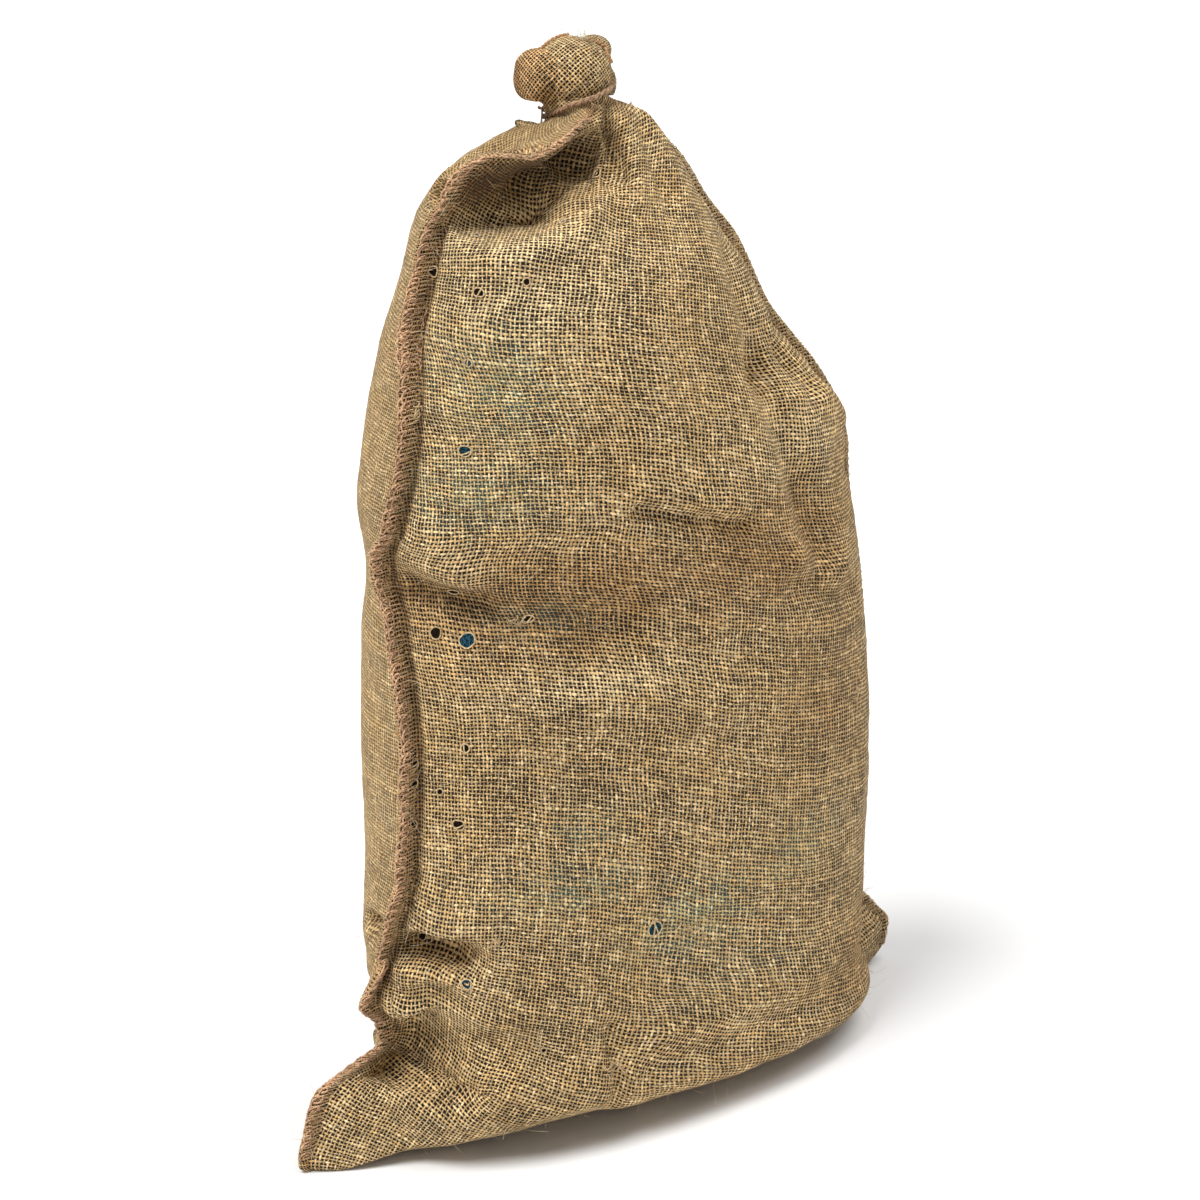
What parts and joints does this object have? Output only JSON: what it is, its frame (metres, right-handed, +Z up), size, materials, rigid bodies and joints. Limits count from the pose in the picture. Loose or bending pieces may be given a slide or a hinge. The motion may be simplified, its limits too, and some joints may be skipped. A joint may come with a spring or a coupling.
{
  "type": "hessian sack",
  "caption": "Filled jute hessian sack, oversewn up both sides, gathered at the neck and tied with twine, standing upright on its folded bottom.",
  "frame": {"origin": "on the flat base that the sack stands on, under the middle of the filled part", "axes": "+Z up, the front panel faces -Y, the width across both side seams runs along X with the longer corner ear at -X"},
  "size_m": [0.5018, 0.2031, 0.7333],
  "materials": {
    "jute_cloth": "coarse plain-weave jute, matt and hairy, with snags and small holes",
    "jute_twine": "two-ply jute twine, reddish brown, matt"
  },
  "bodies": {
    "root": {"sack": "jute_cloth", "tie": "jute_twine"}
  },
  "joints": []
}
